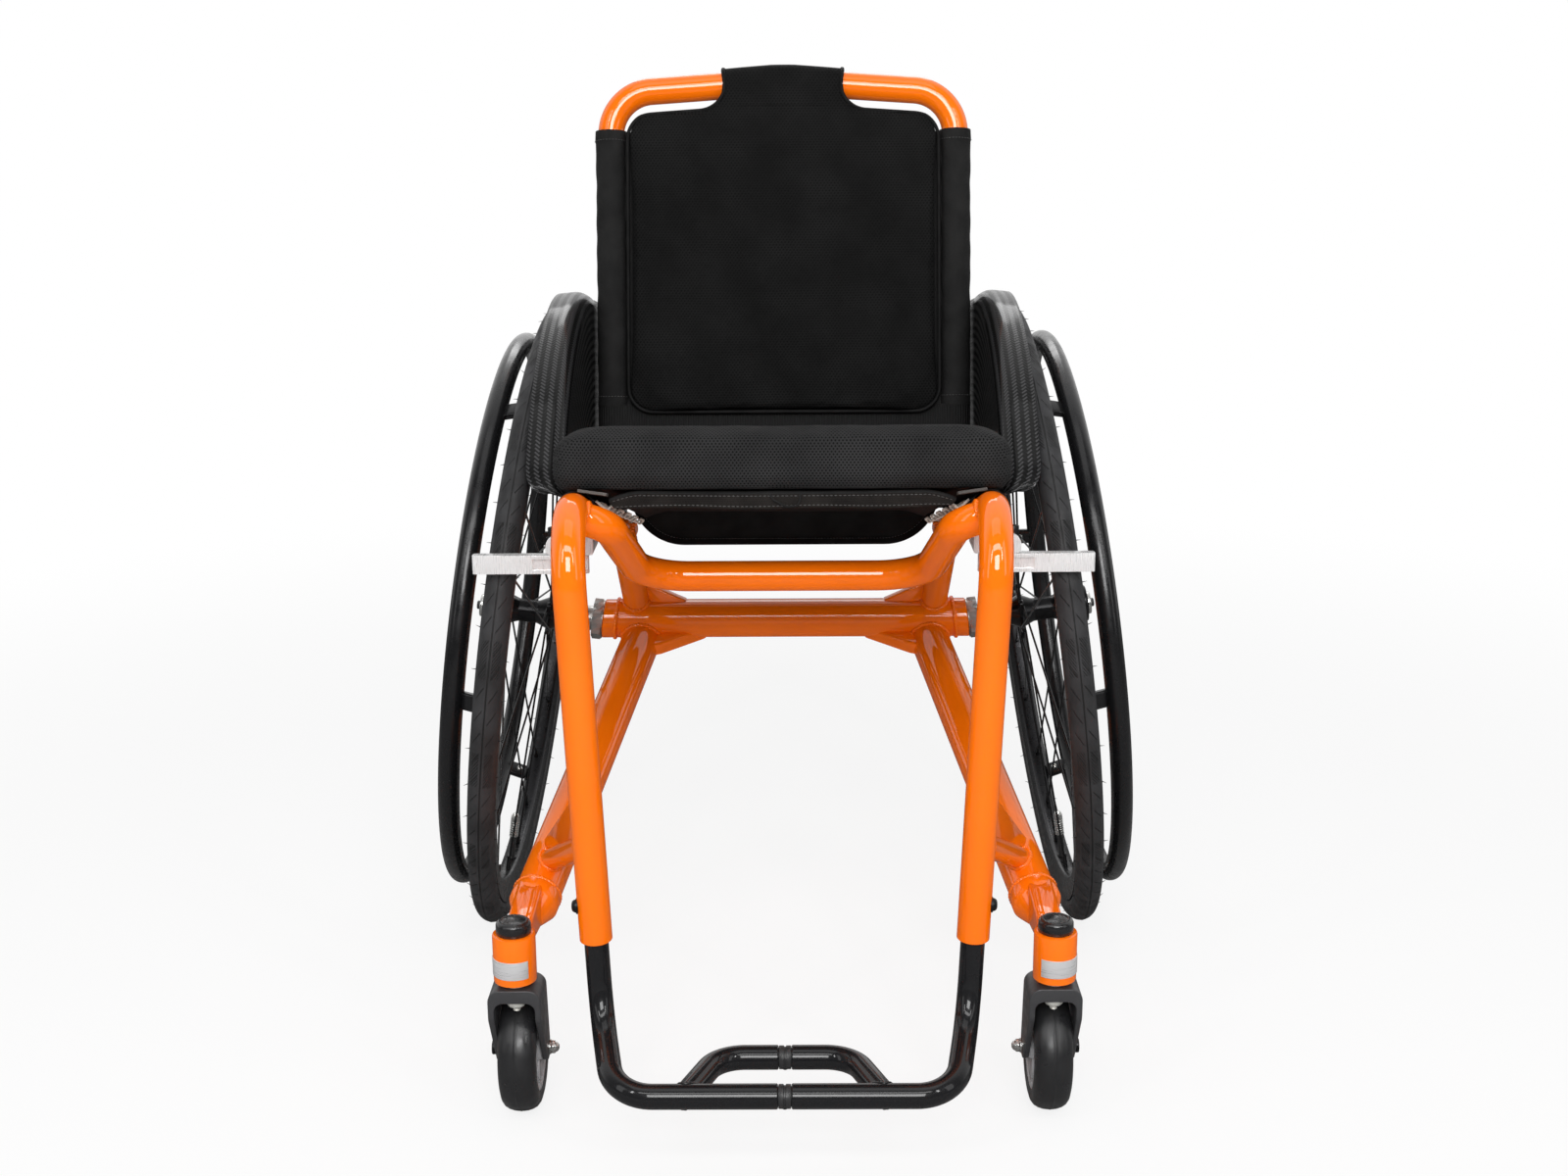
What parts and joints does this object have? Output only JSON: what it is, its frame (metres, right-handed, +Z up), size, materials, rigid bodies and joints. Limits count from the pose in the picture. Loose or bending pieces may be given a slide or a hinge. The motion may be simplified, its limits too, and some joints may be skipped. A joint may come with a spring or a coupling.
{
  "type": "sports wheelchair",
  "caption": "Rigid sports wheelchair with cambered spoked wheels, pushrims, swivelling casters, tubular footrest, sling seat with cushion and folding padded back.",
  "frame": {"origin": "centre of the bounding box's base, on the floor between the wheels", "axes": "+Z up, +Y to the chair's back and -Y to its front, +X to the user's left"},
  "size_m": [0.6488, 0.8411, 0.8245],
  "materials": {
    "orange_powder_coat": "gloss",
    "black_gloss_coat": "gloss",
    "black_anodised": "satin",
    "milled_aluminium": "satin",
    "bright_steel": "polished",
    "tyre_rubber": "matte",
    "caster_polyurethane": "gloss",
    "grey_plastic": "satin",
    "black_plastic": "gloss",
    "carbon_twill": "gloss",
    "black_woven_cloth": "matte",
    "black_spacer_mesh": "matte",
    "ivory_cord": "matte"
  },
  "bodies": {
    "frame": {"left_side_tube": "orange_powder_coat", "right_side_tube": "orange_powder_coat", "left_upright": "orange_powder_coat", "right_upright": "orange_powder_coat", "left_down_tube": "orange_powder_coat", "right_down_tube": "orange_powder_coat", "left_caster_arm": "orange_powder_coat", "right_caster_arm": "orange_powder_coat", "left_leg_brace": "orange_powder_coat", "right_leg_brace": "orange_powder_coat", "left_camber_plug": "bright_steel", "right_camber_plug": "bright_steel", "left_axle_pin": "bright_steel", "right_axle_pin": "bright_steel", "left_stem_cap": "black_plastic", "right_stem_cap": "black_plastic", "left_rail_cover": "black_woven_cloth", "right_rail_cover": "black_woven_cloth", "left_seat_lacing": "ivory_cord", "right_seat_lacing": "ivory_cord", "left_hinge_bracket": "black_anodised", "right_hinge_bracket": "black_anodised", "left_side_guard": "carbon_twill", "right_side_guard": "carbon_twill", "left_lock_clamp": "milled_aluminium", "right_lock_clamp": "milled_aluminium", "front_crossbar": "orange_powder_coat", "axle_tube": "orange_powder_coat", "seat_sling": "black_woven_cloth", "seat_cushion": "black_spacer_mesh"},
    "back": {"back_hoop": "orange_powder_coat", "back_cover": "black_woven_cloth", "back_pad": "black_spacer_mesh"},
    "left_wheel": {"left_tyre": "tyre_rubber", "left_rim": "black_anodised", "left_hub_and_spokes": "black_anodised", "left_pushrim": "black_gloss_coat"},
    "left_axle_button": {"left_release_button": "black_plastic"},
    "left_caster_swivel": {"left_caster_fork": "black_gloss_coat", "left_caster_stem": "bright_steel", "left_caster_bolt": "bright_steel"},
    "left_caster_wheel": {"left_caster_tyre": "caster_polyurethane", "left_caster_hub": "grey_plastic"},
    "left_footrest_half": {"left_footrest": "black_gloss_coat", "front_joining_sleeve": "black_plastic", "rear_joining_sleeve": "black_plastic"},
    "left_wheel_lock": {"left_lock_bar": "milled_aluminium"},
    "right_wheel": {"right_tyre": "tyre_rubber", "right_rim": "black_anodised", "right_hub_and_spokes": "black_anodised", "right_pushrim": "black_gloss_coat"},
    "right_axle_button": {"right_release_button": "black_plastic"},
    "right_caster_swivel": {"right_caster_fork": "black_gloss_coat", "right_caster_stem": "bright_steel", "right_caster_bolt": "bright_steel"},
    "right_caster_wheel": {"right_caster_tyre": "caster_polyurethane", "right_caster_hub": "grey_plastic"},
    "right_footrest_half": {"right_footrest": "black_gloss_coat"},
    "right_wheel_lock": {"right_lock_bar": "milled_aluminium"}
  },
  "joints": [
    {"name": "left_wheel_spin", "type": "hinge", "parent": "frame", "child": "left_wheel", "pos_m": [0.2485, 0.11575, 0.3026], "axis": [0.9921, 0, 0.1253], "continuous": true},
    {"name": "left_button_push", "type": "slide", "parent": "frame", "child": "left_axle_button", "axis": [0.9921, 0, 0.1253], "range_m": [-0.003, 0], "stiffness_N_per_m": 400, "springref_m": 0.002},
    {"name": "left_caster_turn", "type": "hinge", "parent": "frame", "child": "left_caster_swivel", "pos_m": [0.2105, -0.32895, 0.1], "axis": [0, 0, 1], "continuous": true},
    {"name": "left_caster_roll", "type": "hinge", "parent": "left_caster_swivel", "child": "left_caster_wheel", "pos_m": [0.2105, -0.30325, 0.05], "axis": [1, 0, 0], "continuous": true},
    {"name": "left_footrest_height", "type": "slide", "parent": "frame", "child": "left_footrest_half", "axis": [0.0367, -0.0336, 0.9988], "range_m": [0, 0.03]},
    {"name": "left_lock_swing", "type": "hinge", "parent": "frame", "child": "left_wheel_lock", "pos_m": [0.1705, -0.17396, 0.419], "axis": [0, 0, 1], "range_deg": [-85, 0]},
    {"name": "right_wheel_spin", "type": "hinge", "parent": "frame", "child": "right_wheel", "pos_m": [-0.2485, 0.11575, 0.3026], "axis": [-0.9921, 0, 0.1253], "continuous": true},
    {"name": "right_button_push", "type": "slide", "parent": "frame", "child": "right_axle_button", "axis": [-0.9921, 0, 0.1253], "range_m": [-0.003, 0], "stiffness_N_per_m": 400, "springref_m": 0.002},
    {"name": "right_caster_turn", "type": "hinge", "parent": "frame", "child": "right_caster_swivel", "pos_m": [-0.2105, -0.32895, 0.1], "axis": [0, 0, 1], "continuous": true},
    {"name": "right_caster_roll", "type": "hinge", "parent": "right_caster_swivel", "child": "right_caster_wheel", "pos_m": [-0.2105, -0.30325, 0.05], "axis": [1, 0, 0], "continuous": true},
    {"name": "right_footrest_height", "type": "slide", "parent": "frame", "child": "right_footrest_half", "axis": [-0.0367, -0.0336, 0.9988], "range_m": [0, 0.03]},
    {"name": "right_lock_swing", "type": "hinge", "parent": "frame", "child": "right_wheel_lock", "pos_m": [-0.1705, -0.17396, 0.419], "axis": [0, 0, 1], "range_deg": [0, 85]},
    {"name": "back_fold", "type": "hinge", "parent": "frame", "child": "back", "pos_m": [0, 0.13825, 0.462], "axis": [1, 0, 0], "range_deg": [0, 75]}
  ],
  "couplings": [
    {"joint": "right_footrest_height", "follows": "left_footrest_height", "ratio": 1}
  ]
}
